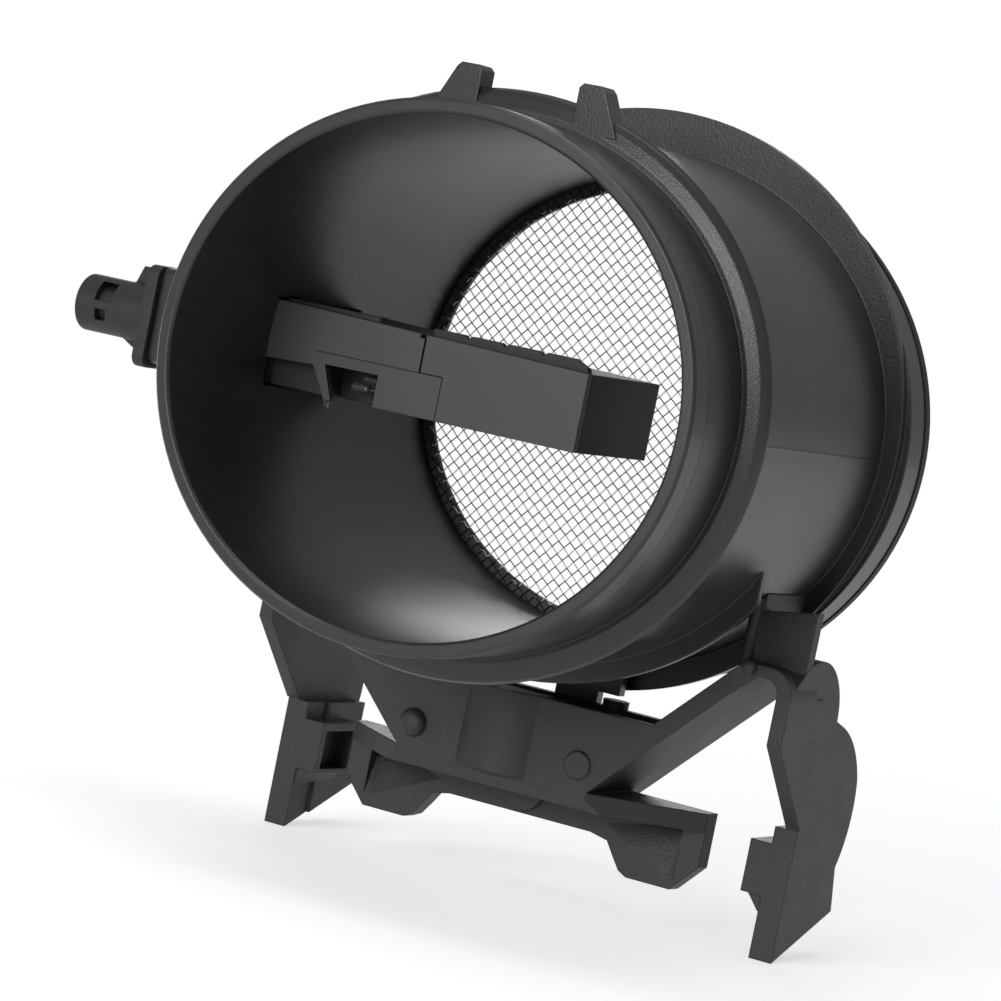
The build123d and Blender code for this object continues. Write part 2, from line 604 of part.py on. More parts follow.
# Bracket, one moulding: its right half is built, then mirrored
panel_back = behind(panel_thickness)
leg_inner_x = leg_outer_x - leg_thickness
lobe_x = leg_outer_x - band_step
strut_offset = strut_thickness * sqrt(2)         # the struts rise at 45 degrees
shelf_top = below(panel_foot)
shelf_z = shelf_top - shelf_thickness
arch_run = panel_foot - arch_floor
heel_y = behind(heel[0])
column_y = behind(column_depth)
foot_y = behind(skirt_depth)
foot_back = behind(foot_depth)
with BuildPart() as mounting_bracket:
    # panel, with the boss in its middle
    outline([(0, shelf_top), (panel_half_width, shelf_top), (panel_top_x, below(panel_top)),
             (0, below(panel_top))],
            bracket_y, panel_back)
    boss_radius = (boss_half_width ** 2 + boss_bulge ** 2) / (2 * boss_bulge)
    with BuildSketch(Plane.XY.offset(shelf_top - 0.5)) as boss:
        with Locations((0, bracket_y - boss_bulge + boss_radius)):
            Circle(boss_radius)
        with Locations((boss_half_width / 2, bracket_y)):
            Rectangle(boss_half_width, 4 * boss_bulge, mode=Mode.INTERSECT)
    extrude(boss.sketch, amount=panel_foot - panel_top + 0.5)
    # strut, arch and the top of the leg as one bent wall
    with BuildSketch(across(bracket_y)) as band:
        arch = [(leg_outer_x, below(band_foot)), (leg_inner_x, below(band_foot)),
                (leg_inner_x, below(arch_floor)),
                (panel_half_width + arch_run, below(arch_floor)),
                (panel_half_width - strut_lap, shelf_top - strut_lap),
                (panel_half_width - strut_offset - strut_lap, shelf_top - strut_lap),
                (panel_half_width - strut_offset + panel_foot - arch_top, below(arch_top)),
                (leg_outer_x, below(arch_top))]
        Polygon(*arch, align=None)
        fillet(nearest(band, *arch[7]), arch_round)
        fillet(nearest(band, *arch[2]), arch_inner_round)
    extrude(band.sketch, amount=-arch_depth)
    # the strut alone runs further back, with a wall between the struts
    outline([arch[3], arch[4], arch[5], (arch[6][0] - 2.0, arch[6][1] - 2.0)], bracket_y, behind(strut_depth))
    outline([(0, shelf_top - 1.0), (panel_half_width - strut_offset + 1.0, shelf_top - 1.0),
             (panel_half_width - strut_offset + panel_foot - rear_wall_drop + 1.0, below(rear_wall_drop)),
             (0, below(rear_wall_drop))], foot_back - rear_wall_thickness, foot_back)
    with BuildSketch(Plane.XY.offset(shelf_top)) as peg:
        with Locations((peg_x, foot_back - rear_wall_thickness / 2)):
            Circle(peg_radius)
    extrude(peg.sketch, amount=panel_foot - peg_drop)
    # side plate of the leg with its lobes
    front = [(front_slant, arch_top + arch_round), (front_slant, band_foot), heel]
    with BuildSketch(side(leg_inner_x)) as lobes:
        with BuildLine():
            start, bend, notch, shoulder, middle, crest_point, rear, foot = beside(
                [lobe_start, lobe_bend, lobe_notch, lobe_shoulder,
                 lobe_middle, lobe_crest, lobe_rear, lobe_foot])
            Polyline(start, *beside(front), *beside([(heel[0], sole_front), sole_rear]), foot)
            ThreePointArc(start, bend, notch)
            Line(notch, shoulder)
            ThreePointArc(shoulder, middle, crest_point)
            ThreePointArc(crest_point, rear, foot)
        make_face()
    extrude(lobes.sketch, amount=lobe_x - leg_inner_x)
    profile(beside([*front, (band_edge[0][0], heel[1]), *band_edge]), leg_inner_x, leg_outer_x)
    # lower leg, thicker at the rear, with the jaw on its inner side
    leg_foot = [sole_rear, lobe_foot, (lobe_foot[0], heel[1])]
    profile(beside([heel, (heel[0], sole_front), *leg_foot]), leg_outer_x - sole_width, lobe_x)
    sole_slope = (sole_rear[1] - sole_front) / (sole_rear[0] - heel[0])
    rear_sole = sole_front + sole_slope * (rear_step_depth - heel[0])
    profile(beside([(rear_step_depth, heel[1]), (rear_step_depth, rear_sole), *leg_foot]),
            leg_outer_x - sole_width - rear_step, lobe_x)
    jaw_z = (below(jaw_drop[1]), below(jaw_drop[0]))
    jaw_y = (heel_y, behind(jaw_back))
    block((jaw_x, leg_outer_x - 1.0), jaw_y, jaw_z)
    outline([(jaw_foot_x[0], jaw_z[0] + 1.0), (jaw_foot_x[0], jaw_z[0]),
             (jaw_foot_x[1], below(jaw_foot_drop)),
             (leg_outer_x - 1.0, below(jaw_foot_drop)), (leg_outer_x - 1.0, jaw_z[0] + 1.0)],
            heel_y + 0.3, behind(jaw_back) - 1.0)
    block((jaw_x - 1.0, leg_outer_x - sole_width - rear_step), (jaw_y[0] + jaw_wall, jaw_y[1] - jaw_wall),
          (jaw_z[0] + 0.7, jaw_z[1] - jaw_wall), mode=Mode.SUBTRACT)
    # column that ties the leg to the body and the flange
    column_foot = below(arch_top) - column_foot_drop
    outline([(column_x, column_foot + column_slant), (column_x, below(column_top[0])),
             (leg_outer_x - column_lap, below(column_top[1])), (leg_outer_x - column_lap, column_foot)],
            column_y, column_y + column_thickness)
    rib_x = (column_x - column_rib, column_x + column_lap)
    rib_foot = below(arch_top) - (arch[6][0] - rib_x[0]) - 1.0
    block(rib_x, (column_y, flange_y), (rib_foot, below(column_top[0]) + 3))
    with BuildSketch(Plane.XY.offset(rib_foot + 2.0)) as rod:
        with Locations((column_x - column_rib / 2, column_y)):
            Circle(column_rib / 2)
    extrude(rod.sketch, amount=below(column_top[0]) - rib_foot)
    with BuildSketch(across(bracket_y + column_depth - nub_radius)) as nub:
        with Locations((column_x - nub_inset[0], below(arch_top) - nub_inset[1])):
            Circle(nub_radius)
    extrude(nub.sketch, amount=-2 * nub_radius)
    # shelf
    with BuildSketch(Plane.XY.offset(shelf_z)) as shelf:
        Polygon((0, bracket_y), (panel_half_width, bracket_y), (foot_x, foot_y), (foot_x, foot_back),
                (0, foot_back), align=None)
    extrude(shelf.sketch, amount=shelf_thickness)
    chamfer(mounting_bracket.edges().filter_by(Axis.X).filter_by(
        lambda e: abs(e.center().Z - shelf_z) < 0.01 and abs(e.center().Y - bracket_y) < 0.01), shelf_bevel)
    # skirt and foot, with the wedge-shaped pocket of the foot
    outline([(0, shelf_z + 1.0), (0, below(skirt_foot)), (skirt_half_width, below(skirt_foot)),
             *[(x, below(drop)) for x, drop in foot_outline], (foot_x, shelf_z + 1.0)], foot_y, foot_back)
    pocket_top = shelf_z + 0.3
    mouth = [(pocket_start[0], below(pocket_start[1])), (pocket_tip[0], below(pocket_tip[1])),
             (pocket_end_x, below(pocket_tip[1])), (pocket_end_x, pocket_top),
              (pocket_start[0] + 1.5, pocket_top)]
    floor = [(pocket_end_x + (x - pocket_end_x) / 8, pocket_top + (z - pocket_top) / 8) for x, z in mouth]
    with BuildSketch(across(foot_y)) as pocket_mouth:
        Polygon(*mouth, align=None)
    with BuildSketch(across(foot_y + pocket_depth)) as pocket_floor:
        Polygon(*floor, align=None)
    loft([pocket_mouth.sketch.face(), pocket_floor.sketch.face()], mode=Mode.SUBTRACT)
    # hollow behind the skirt, and the half-moon tab in front of it
    block((-1.0, skirt_half_width), (foot_y + skirt_thickness, foot_back + 1.0),
          (below(skirt_foot) - 1.0, shelf_z), mode=Mode.SUBTRACT)
    with BuildSketch(across(foot_y - tab_thickness)) as tab:
        with Locations((0, shelf_z)):
            Circle(tab_radius)
        with Locations((tab_radius, shelf_z - tab_radius / 2 + 0.5)):
            Rectangle(2 * tab_radius, tab_radius + 1.0, mode=Mode.INTERSECT)
    extrude(tab.sketch, amount=-tab_thickness - 0.5)
    # the arch and the leg stand a little behind the panel
    strut_end_x = panel_half_width + arch_run
    with BuildSketch(Plane.XY.offset(below(sole_front))) as slant:
        Polygon((strut_end_x - 4.0, bracket_y), (strut_end_x, behind(front_slant)),
                (leg_outer_x + 1.0, behind(front_slant)), (leg_outer_x + 1.0, bracket_y - 1.0),
                (strut_end_x - 4.0, bracket_y - 1.0), align=None)
    extrude(slant.sketch, amount=sole_front - arch_top + 1.0, mode=Mode.SUBTRACT)
    # clear of the body, then the left half
    oval(body_step, bracket_y, flange_y, mode=Mode.SUBTRACT)
    mirror(about=Plane.YZ)
    # moulded buttons on the panel, rounded off by a cone
    for x, height, rounding in ((-button_x, button_heights[0], button_rounds[0]),
                                (button_x, button_heights[1], button_rounds[1])):
        rings = []
        for y, radius in ((bracket_y - height + rounding, button_radius),
                          (bracket_y - height, button_radius - rounding)):
            with BuildSketch(across(y)) as ring:
                with Locations((x, below(button_drop))):
                    Circle(radius)
            rings.append(ring.sketch.face())
        extrude(rings[0], amount=rounding - height - 0.5)
        loft(rings)
mounting_bracket.part.label = "mounting_bracket"
export_step(mounting_bracket.part, "parts/mounting_bracket.step")

# Contact pins of the plug
with BuildPart() as contact_pins:
    for y, z in pins:
        block(pin_ends, (y - pin_size / 2, y + pin_size / 2), (z - pin_size / 2, z + pin_size / 2))
contact_pins.part.label = "contact_pins"
export_step(contact_pins.part, "parts/contact_pins.step")

# Parts on the board
with BuildPart() as control_chip:
    with BuildSketch(across(board_y)) as chip:
        with Locations((board_x[0] + board_clearance + signal_chip[0] / 2 + chip_setback, sum(board_z) / 2)):
            Rectangle(signal_chip[0], signal_chip[1])
    extrude(chip.sketch, amount=signal_chip[2])
    chamfer(control_chip.faces().sort_by(Axis.Y)[0].edges(), 0.3)
control_chip.part.label = "control_chip"
export_step(control_chip.part, "parts/control_chip.step")

with BuildPart() as capacitors:
    with BuildSketch(across(board_y)) as caps:
        with Locations((board_x[1] - 2.6, sum(board_z) / 2)):
            with GridLocations(0, 1.4 * capacitor[1], 1, 2):
                Rectangle(capacitor[0], capacitor[1])
    extrude(caps.sketch, amount=capacitor[2])
capacitors.part.label = "capacitors"
export_step(capacitors.part, "parts/capacitors.step")

# Carrier that holds the film chip in the middle of the channel
with BuildPart() as chip_carrier:
    block(carrier_x, (board_y, board_bay_back), carrier_z)
    chamfer(chip_carrier.faces().sort_by(Axis.X)[-1].edges().filter_by(Axis.Z), 0.7)
chip_carrier.part.label = "chip_carrier"
export_step(chip_carrier.part, "parts/chip_carrier.step")

with BuildPart() as sensor_chip:
    with BuildSketch(across(board_y)) as film:
        with Locations((carrier_x[1] - 1.2 - film_chip[0] / 2, sum(carrier_z) / 2)):
            Rectangle(film_chip[0], film_chip[1])
    extrude(film.sketch, amount=film_chip[2])
sensor_chip.part.label = "sensor_chip"
export_step(sensor_chip.part, "parts/sensor_chip.step")

# Bead thermistor of the intake air, on its lead in the window
with BuildPart() as temperature_sensor:
    with BuildSketch(side(thermistor[0] - bead_length)) as bead:
        with Locations((thermistor[1], thermistor[2])):
            Circle(bead_radius)
    extrude(bead.sketch, amount=bead_length)
    fillet(temperature_sensor.edges().filter_by(GeomType.CIRCLE), 0.6)
    with BuildSketch(side(thermistor[0] - bead_length / 2)) as lead:
        with Locations((thermistor[1], thermistor[2])):
            Circle(lead_radius)
    extrude(lead.sketch, amount=bead_length / 2 + window_x[1] + lead_depth - thermistor[0])
temperature_sensor.part.label = "temperature_sensor"
export_step(temperature_sensor.part, "parts/temperature_sensor.step")
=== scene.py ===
import json
import math

import bmesh
import bpy
from mathutils import Matrix, Vector


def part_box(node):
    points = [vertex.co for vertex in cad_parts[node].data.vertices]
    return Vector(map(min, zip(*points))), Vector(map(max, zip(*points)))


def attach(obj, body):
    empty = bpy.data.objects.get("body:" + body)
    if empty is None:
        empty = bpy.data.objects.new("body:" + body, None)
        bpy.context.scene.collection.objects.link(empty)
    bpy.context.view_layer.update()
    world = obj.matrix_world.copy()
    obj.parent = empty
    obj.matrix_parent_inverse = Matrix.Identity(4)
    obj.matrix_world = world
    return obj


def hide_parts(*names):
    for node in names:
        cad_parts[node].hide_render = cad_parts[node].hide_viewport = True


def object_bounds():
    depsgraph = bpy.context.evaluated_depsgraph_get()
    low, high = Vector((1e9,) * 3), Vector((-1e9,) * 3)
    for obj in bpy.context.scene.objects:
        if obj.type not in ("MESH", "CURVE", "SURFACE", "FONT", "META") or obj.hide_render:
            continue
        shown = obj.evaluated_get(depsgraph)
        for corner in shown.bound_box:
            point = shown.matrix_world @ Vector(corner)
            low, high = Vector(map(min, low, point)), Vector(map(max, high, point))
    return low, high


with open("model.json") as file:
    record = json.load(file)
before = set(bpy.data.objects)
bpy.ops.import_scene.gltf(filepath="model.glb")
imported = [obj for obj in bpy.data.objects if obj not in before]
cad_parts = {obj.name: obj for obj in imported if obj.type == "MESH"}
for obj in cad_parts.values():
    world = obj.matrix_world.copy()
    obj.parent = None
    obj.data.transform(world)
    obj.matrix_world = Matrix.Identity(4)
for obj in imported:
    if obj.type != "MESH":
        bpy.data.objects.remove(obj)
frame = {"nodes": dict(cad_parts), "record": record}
nodes = frame["nodes"]
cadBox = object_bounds()
mm = 0.001

# The camera stands right of the hose mouth and a little above it, and leans with the object
camera = {
    "place": (0.32197, -0.58379, 0.02296),
    "turn": 27.42,      # degrees to the object's right
    "height": 3.39,     # degrees above the level
    "lean": 11.42,      # degrees of roll
    "lens": 151.80,
    "sensor": 36.0,
    "nearest": 0.01,
}

# Lamps: place, aim, size and power in watts
lamps = {
    "frontLamp": {"place": (-0.15, -1.3, 0.35), "aim": (0, 0.03, -0.02), "size": 0.8, "power": 11.0},
    "topLamp": {"place": (-0.1, -0.1, 1.1), "aim": (0, 0.03, 0), "size": 0.7, "power": 3.0},
    "backLamp": {"place": (-0.60, 1.10, 0.05), "aim": (0, 0.03, 0), "size": 0.8, "power": 5.0},
}
room = {"ambient": 0.14, "gloss": 0.42}
# Pale floor: near and far are where its own glow starts and ends to turn white, in metres
ground = {
    "color": (0.86, 0.86, 0.86, 1),
    "faded": (0, 0, 0, 1),
    "near": 0.12,
    "far": 0.45,
    "glow": 0.58,       # seen by the camera beside the object
    "lift": 0.45,       # light thrown up at the object
    "gloss": 0.95,      # seen in reflections
    "reach": 3.0,
}
white = (1, 1, 1, 1)


class Value:
    # an output socket; arithmetic on it adds Math nodes to its material
    def __init__(self, graph, socket):
        self.graph = graph
        self.socket = socket

    def math(self, operation, *others):
        inputs = dict(enumerate((self,) + others))
        return self.graph.node("ShaderNodeMath", {"operation": operation}, inputs)

    def reflected(self, operation, first):
        return self.graph.node("ShaderNodeMath", {"operation": operation}, {0: first, 1: self})

    def __add__(self, other):
        return self.math("ADD", other)

    def __radd__(self, other):
        return self.math("ADD", other)

    def __sub__(self, other):
        return self.math("SUBTRACT", other)

    def __rsub__(self, other):
        return self.reflected("SUBTRACT", other)

    def __mul__(self, other):
        return self.math("MULTIPLY", other)

    def __rmul__(self, other):
        return self.math("MULTIPLY", other)

    def __truediv__(self, other):
        return self.math("DIVIDE", other)

    def __rtruediv__(self, other):
        return self.reflected("DIVIDE", other)

    def __pow__(self, other):
        return self.math("POWER", other)

    def __rpow__(self, other):
        return self.reflected("POWER", other)

    def clamped(self):
        return self.math("MAXIMUM", 0.0).math("MINIMUM", 1.0)

    def outputs(self):
        # every output of the node that this socket is on, by name
        made = self.socket.node.outputs
        return {socket.name: Value(self.graph, socket) for socket in made if socket.name}


class Graph:
    # a node tree; node() makes any node from its settings and its inputs
    def __init__(self, name, tree=None):
        if tree is None:
            self.material = bpy.data.materials.new(name)
            self.material.use_nodes = True
            tree = self.material.node_tree
        self.tree = tree
        self.tree.nodes.clear()

    def node(self, kind, settings=None, inputs=None, output=0):
        made = self.tree.nodes.new(kind)
        for key, value in (settings or {}).items():
            if key == "stops":
                ramp = made.color_ramp.elements
                while len(ramp) < len(value):
                    ramp.new(0.5)
                for element, (position, color) in zip(ramp, value):
                    element.position = position
                    element.color = color
            else:
                setattr(made, key, value)
        for key, value in (inputs or {}).items():
            socket = made.inputs[key]
            if isinstance(value, Value):
                self.tree.links.new(value.socket, socket)
            else:
                socket.default_value = value
        return Value(self, made.outputs[output] if len(made.outputs) else None)

    def place(self):
        return self.node("ShaderNodeTexCoord", output="Object")

    def axes(self, vector):
        return self.node("ShaderNodeSeparateXYZ", {}, {"Vector": vector}).outputs()

    def vector(self, **parts):
        return self.node("ShaderNodeCombineXYZ", {}, parts)

    def noise(self, place, scale, detail, roughness=0.5):
        return self.node("ShaderNodeTexNoise", {}, {"Vector": place, "Scale": scale, "Detail": detail,
                                                     "Roughness": roughness})

    def blend(self, factor, first, second):
        return self.node("ShaderNodeMix", {"data_type": "RGBA"}, {0: factor, 6: first, 7: second}, 2)

    def bump(self, strength, distance, height, **more):
        return self.node("ShaderNodeBump", {}, {"Strength": strength, "Distance": distance, "Height": height,
                                                **more})

    def principled(self, inputs):
        return self.surface(self.node("ShaderNodeBsdfPrincipled", {}, inputs))

    def surface(self, shader):
        self.node("ShaderNodeOutputMaterial", {}, {"Surface": shader})
        return self.material


def shade(color, factor):
    return tuple(min(1.0, part * factor) for part in color[:3]) + (1.0,)


# What all the mouldings share: cloud is their slow unevenness, grain their fine one
moulding = {
    "cloudDetail": 3.0,
    "cloudShare": 0.7,
    "grainDetail": 2.0,
    "grainRoughness": 0.6,
    "grainShare": 0.3,
    "bumpDistance": 0.2 * mm,
    "bevelSamples": 6,
    "ior": 1.5,
}
looks = {
    "housing": {"color": (0.022, 0.023, 0.025), "roughness": 0.30, "roughSpread": 0.08, "unevenness": 0.12,
                "cloudScale": 60.0, "grainScale": 2600.0, "grainDepth": 0.18, "edge": 0.4 * mm,
                "specular": 0.5},
    "bracket": {"color": (0.020, 0.020, 0.021), "roughness": 0.50, "roughSpread": 0.16, "unevenness": 0.35,
                "cloudScale": 140.0, "grainScale": 2800.0, "grainDepth": 0.60, "edge": 0.4 * mm,
                "specular": 0.5},
    "probe": {"color": (0.046, 0.0465, 0.047), "roughness": 0.42, "roughSpread": 0.08, "unevenness": 0.10,
              "cloudScale": 80.0, "grainScale": 3000.0, "grainDepth": 0.12, "edge": 0.2 * mm,
              "specular": 0.5},
    "tray": {"color": (0.020, 0.0205, 0.021), "roughness": 0.52, "roughSpread": 0.10, "unevenness": 0.12,
             "cloudScale": 80.0, "grainScale": 2800.0, "grainDepth": 0.20, "edge": 0.3 * mm,
             "specular": 0.4},
    "ring": {"color": (0.050, 0.050, 0.051), "roughness": 0.55, "roughSpread": 0.08, "unevenness": 0.10,
             "cloudScale": 70.0, "grainScale": 2600.0, "grainDepth": 0.15, "edge": 0.2 * mm,
             "specular": 0.4},
    "rubber": {"color": (0.022, 0.022, 0.023), "roughness": 0.62, "roughSpread": 0.10, "unevenness": 0.15,
               "cloudScale": 90.0, "grainScale": 2400.0, "grainDepth": 0.20, "edge": 0.3 * mm,
               "specular": 0.4},
}


def plastic(name, look):
    # moulded plastic or rubber: uneven tone, fine grain, soft edges that catch the light
    graph = Graph(name)
    place = graph.place()
    cloud = graph.noise(place, look["cloudScale"], moulding["cloudDetail"])
    grain = graph.noise(place, look["grainScale"], moulding["grainDetail"], moulding["grainRoughness"])
    tone = (cloud * moulding["cloudShare"] + grain * moulding["grainShare"]).clamped()
    color = graph.blend(tone, shade(look["color"], 1.0 - look["unevenness"]),
                        shade(look["color"], 1.0 + look["unevenness"]))
    rough = (cloud - 0.5) * look["roughSpread"] + look["roughness"]
    soft = graph.node("ShaderNodeBevel", {"samples": moulding["bevelSamples"]}, {"Radius": look["edge"]})
    bump = graph.bump(look["grainDepth"], moulding["bumpDistance"], grain, Normal=soft)
    return graph.principled({"Base Color": color, "Roughness": rough, "Normal": bump,
                             "IOR": moulding["ior"], "Specular IOR Level": look["specular"]})


# Small pieces of the electronics: material name, colour, roughness and how metallic
smallParts = {
    "plate": ("carrierMetal", (0.72, 0.73, 0.74), 0.35, 1.0),
    "contact": ("tinnedContact", (0.74, 0.70, 0.58), 0.30, 1.0),
    "board": ("whiteCeramic", (0.78, 0.77, 0.73), 0.55, 0.0),
    "chip": ("chipMoulding", (0.03, 0.03, 0.034), 0.40, 0.0),
    "film": ("filmChip", (0.14, 0.16, 0.22), 0.20, 0.0),
    "capacitor": ("firedCeramic", (0.42, 0.32, 0.21), 0.5, 0.0),
    "carrier": ("carrierMoulding", (0.05, 0.05, 0.055), 0.5, 0.0),
    "thermistor": ("glazedBead", (0.05, 0.05, 0.055), 0.25, 0.0),
}
smallCloud = {"scale": 400.0, "detail": 3.0, "dark": 0.88, "pale": 1.08, "roughSpread": 0.15,
              "bump": 0.1, "bumpDistance": 0.1 * mm}


def smallFinish(name, color, roughness, metallic):
    graph = Graph(name)
    cloud = graph.noise(graph.place(), smallCloud["scale"], smallCloud["detail"])
    tint = graph.blend(cloud, shade(color, smallCloud["dark"]), shade(color, smallCloud["pale"]))
    rough = (cloud - 0.5) * smallCloud["roughSpread"] + roughness
    bump = graph.bump(smallCloud["bump"], smallCloud["bumpDistance"], cloud)
    return graph.principled({"Base Color": tint, "Roughness": rough, "Metallic": metallic, "Normal": bump})


# Woven wire screen at the filter end
weave = {
    "pitch": 1.62 * mm,
    "turn": 49.7,        # degrees of the first wires from level
    "wireRadius": 0.105 * mm,
    "crimp": 0.13 * mm,
    "sides": 5,
    "stepsPerPitch": 2,
    "inset": 0.4 * mm,
    # the two tones are painted shade and painted glint of the crossings, alternating in rows
    "paintedShadeTone": (0.012, 0.012, 0.013, 1),
    "paintedGlintTone": (0.80, 0.80, 0.79, 1),
    "contrast": 2.5,
    "bedTone": (0.028, 0.028, 0.029, 1),
    "bedWidth": 2.6 * mm,
    "roughness": 0.55,
    "specular": 0.25,
}


def wireWithPaintedGlint():
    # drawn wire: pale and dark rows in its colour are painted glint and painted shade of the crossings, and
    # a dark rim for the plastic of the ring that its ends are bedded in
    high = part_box("mesh_screen")[1]
    graph = Graph("steelWire")
    place = graph.axes(graph.place())
    # the painted glint and shade rows lie half-way between the two sets of wires
    turn = math.radians(weave["turn"] - 45.0)
    height = place["Z"] * math.cos(turn) - place["X"] * math.sin(turn)
    # painted glint and painted shade: the wire's colour turns pale and dark in rows along this height
    wave = (height * (math.pi * math.sqrt(2.0) / weave["pitch"])).math("SINE")
    light = (wave * weave["contrast"] + 0.5).clamped()
    paintedGlintRows = graph.blend(light, weave["paintedShadeTone"], weave["paintedGlintTone"])
    reach = (place["X"] / (high.x - weave["bedWidth"])) ** 2.0
    reach = reach + (place["Z"] / (high.z - weave["bedWidth"])) ** 2.0
    tone = graph.blend(reach.math("GREATER_THAN", 1.0), paintedGlintRows, weave["bedTone"])
    return graph.principled({"Base Color": tone, "Roughness": weave["roughness"],
                             "Specular IOR Level": weave["specular"]})


finishes = {slot: plastic(slot + "Plastic", look) for slot, look in looks.items()}
for slot, values in smallParts.items():
    finishes[slot] = smallFinish(*values)
finishes["wire"] = wireWithPaintedGlint()
print("materials made", len(finishes))

# Two mouldings whose tone is not that of the rest of their slot
otherLooks = {"sensor_body": "tray", "mesh_retainer_ring": "ring"}
for part in frame["record"]["subparts"]:
    piece = nodes[part["node"]]
    piece.data.materials.clear()
    piece.data.materials.append(finishes[otherLooks.get(part["node"], part["material_slot"])])
print("nodes dressed", len(nodes))

weaveInputs = {
    "Pitch": "NodeSocketFloat",
    "Wire Radius": "NodeSocketFloat",
    "Crimp": "NodeSocketFloat",
    "Half Width": "NodeSocketFloat",
    "Half Height": "NodeSocketFloat",
    "Depth": "NodeSocketFloat",
    "Wires": "NodeSocketInt",
    "Steps": "NodeSocketInt",
    "Step": "NodeSocketFloat",
    "Metal": "NodeSocketMaterial",
}


def wireLayer(graph, size, turn, sign):
    # one set of parallel wires, laid flat in rows, crimped, turned and cut to the screen's oval
    ahead = math.cos(math.radians(turn))
    rise = math.sin(math.radians(turn))
    halfRun = (size["Steps"] - 1) * size["Step"] * 0.5
    halfSpread = (size["Wires"] - 1) * size["Pitch"] * 0.5
    wire = graph.node("GeometryNodeMeshLine", {}, {
        "Count": size["Steps"], "Start Location": graph.vector(X=0.0 - halfRun),
        "Offset": graph.vector(X=size["Step"])})
    starts = graph.node("GeometryNodeMeshLine", {}, {
        "Count": size["Wires"], "Start Location": graph.vector(Y=0.0 - halfSpread),
        "Offset": graph.vector(Y=size["Pitch"])})
    rows = graph.node("GeometryNodeInstanceOnPoints", {}, {"Points": starts, "Instance": wire})
    flat = graph.node("GeometryNodeRealizeInstances", {}, {"Geometry": rows})
    place = graph.node("GeometryNodeInputPosition")
    laid = graph.axes(place)
    wave = ((laid["X"] + laid["Y"]) / size["Pitch"] * math.pi).math("COSINE") * size["Crimp"] * sign
    bent = graph.vector(X=laid["X"] * ahead - laid["Y"] * rise, Y=size["Depth"] + wave,
                        Z=laid["X"] * rise + laid["Y"] * ahead)
    shaped = graph.node("GeometryNodeSetPosition", {}, {"Geometry": flat, "Position": bent})
    turned = graph.axes(place)
    reach = (turned["X"] / size["Half Width"]) ** 2.0 + (turned["Z"] / size["Half Height"]) ** 2.0
    kept = graph.node("GeometryNodeDeleteGeometry", {"domain": "POINT"},
                      {"Geometry": shaped, "Selection": reach.math("GREATER_THAN", 1.0)})
    return graph.node("GeometryNodeMeshToCurve", {}, {"Mesh": kept})


def weaveTree():
    tree = bpy.data.node_groups.new("weave", "GeometryNodeTree")
    for name, kind in weaveInputs.items():
        tree.interface.new_socket(name=name, in_out="INPUT", socket_type=kind)
    tree.interface.new_socket(name="Geometry", in_out="OUTPUT", socket_type="NodeSocketGeometry")
    graph = Graph("weave", tree)
    size = graph.node("NodeGroupInput").outputs()
    both = graph.node("GeometryNodeJoinGeometry")
    for sign, turn in ((1.0, weave["turn"]), (-1.0, weave["turn"] + 90.0)):
        tree.links.new(wireLayer(graph, size, turn, sign).socket, both.socket.node.inputs[0])
    section = graph.node("GeometryNodeCurvePrimitiveCircle", {}, {"Resolution": weave["sides"],
                                                                  "Radius": size["Wire Radius"]})
    tube = graph.node("GeometryNodeCurveToMesh", {}, {"Curve": both, "Profile Curve": section,
                                                      "Fill Caps": True})
    whole = graph.node("GeometryNodeRealizeInstances", {}, {"Geometry": tube})
    dressed = graph.node("GeometryNodeSetMaterial", {}, {"Geometry": whole, "Material": size["Metal"]})
    graph.node("NodeGroupOutput", {}, {0: dressed})
    return tree


def wovenScreen():
    low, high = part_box("mesh_screen")
    halfWidth = (high.x - low.x) / 2 - weave["inset"]
    halfHeight = (high.z - low.z) / 2 - weave["inset"]
    wires = 2 * int(halfWidth / weave["pitch"]) + 3
    values = {"Pitch": weave["pitch"], "Wire Radius": weave["wireRadius"], "Crimp": weave["crimp"],
              "Half Width": halfWidth, "Half Height": halfHeight, "Depth": (low.y + high.y) / 2,
              "Wires": wires, "Steps": (wires - 1) * weave["stepsPerPitch"] + 1,
              "Step": weave["pitch"] / weave["stepsPerPitch"], "Metal": finishes["wire"]}
    tree = weaveTree()
    holder = bpy.data.objects.new("weaveHolder", bpy.data.meshes.new("weaveHolder"))
    bpy.context.collection.objects.link(holder)
    modifier = holder.modifiers.new("weave", "NODES")
    modifier.node_group = tree
    for item in tree.interface.items_tree:
        if item.in_out == "INPUT":
            modifier[item.identifier] = values[item.name]
    graphState = bpy.context.evaluated_depsgraph_get()
    mesh = bpy.data.meshes.new_from_object(holder.evaluated_get(graphState))
    bpy.data.objects.remove(holder)
    mesh.shade_smooth()
    screen = bpy.data.objects.new("wovenScreen", mesh)
    bpy.context.collection.objects.link(screen)
    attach(screen, "root")
    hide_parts("mesh_screen")
    print("screen woven", len(mesh.polygons), "faces")


wovenScreen()


def circle(count, radius):
    # points round a circle, as pairs of offsets from its centre
    angles = [2.0 * math.pi * side / count for side in range(count)]
    return [(radius * math.cos(angle), radius * math.sin(angle)) for angle in angles]


def joinRings(build, rings):
    # walls between rings of as many corners each
    for first, last in zip(rings, rings[1:]):
        for here in range(len(first)):
            ahead = (here + 1) % len(first)
            build.faces.new((first[here], last[here], last[ahead], first[ahead]))


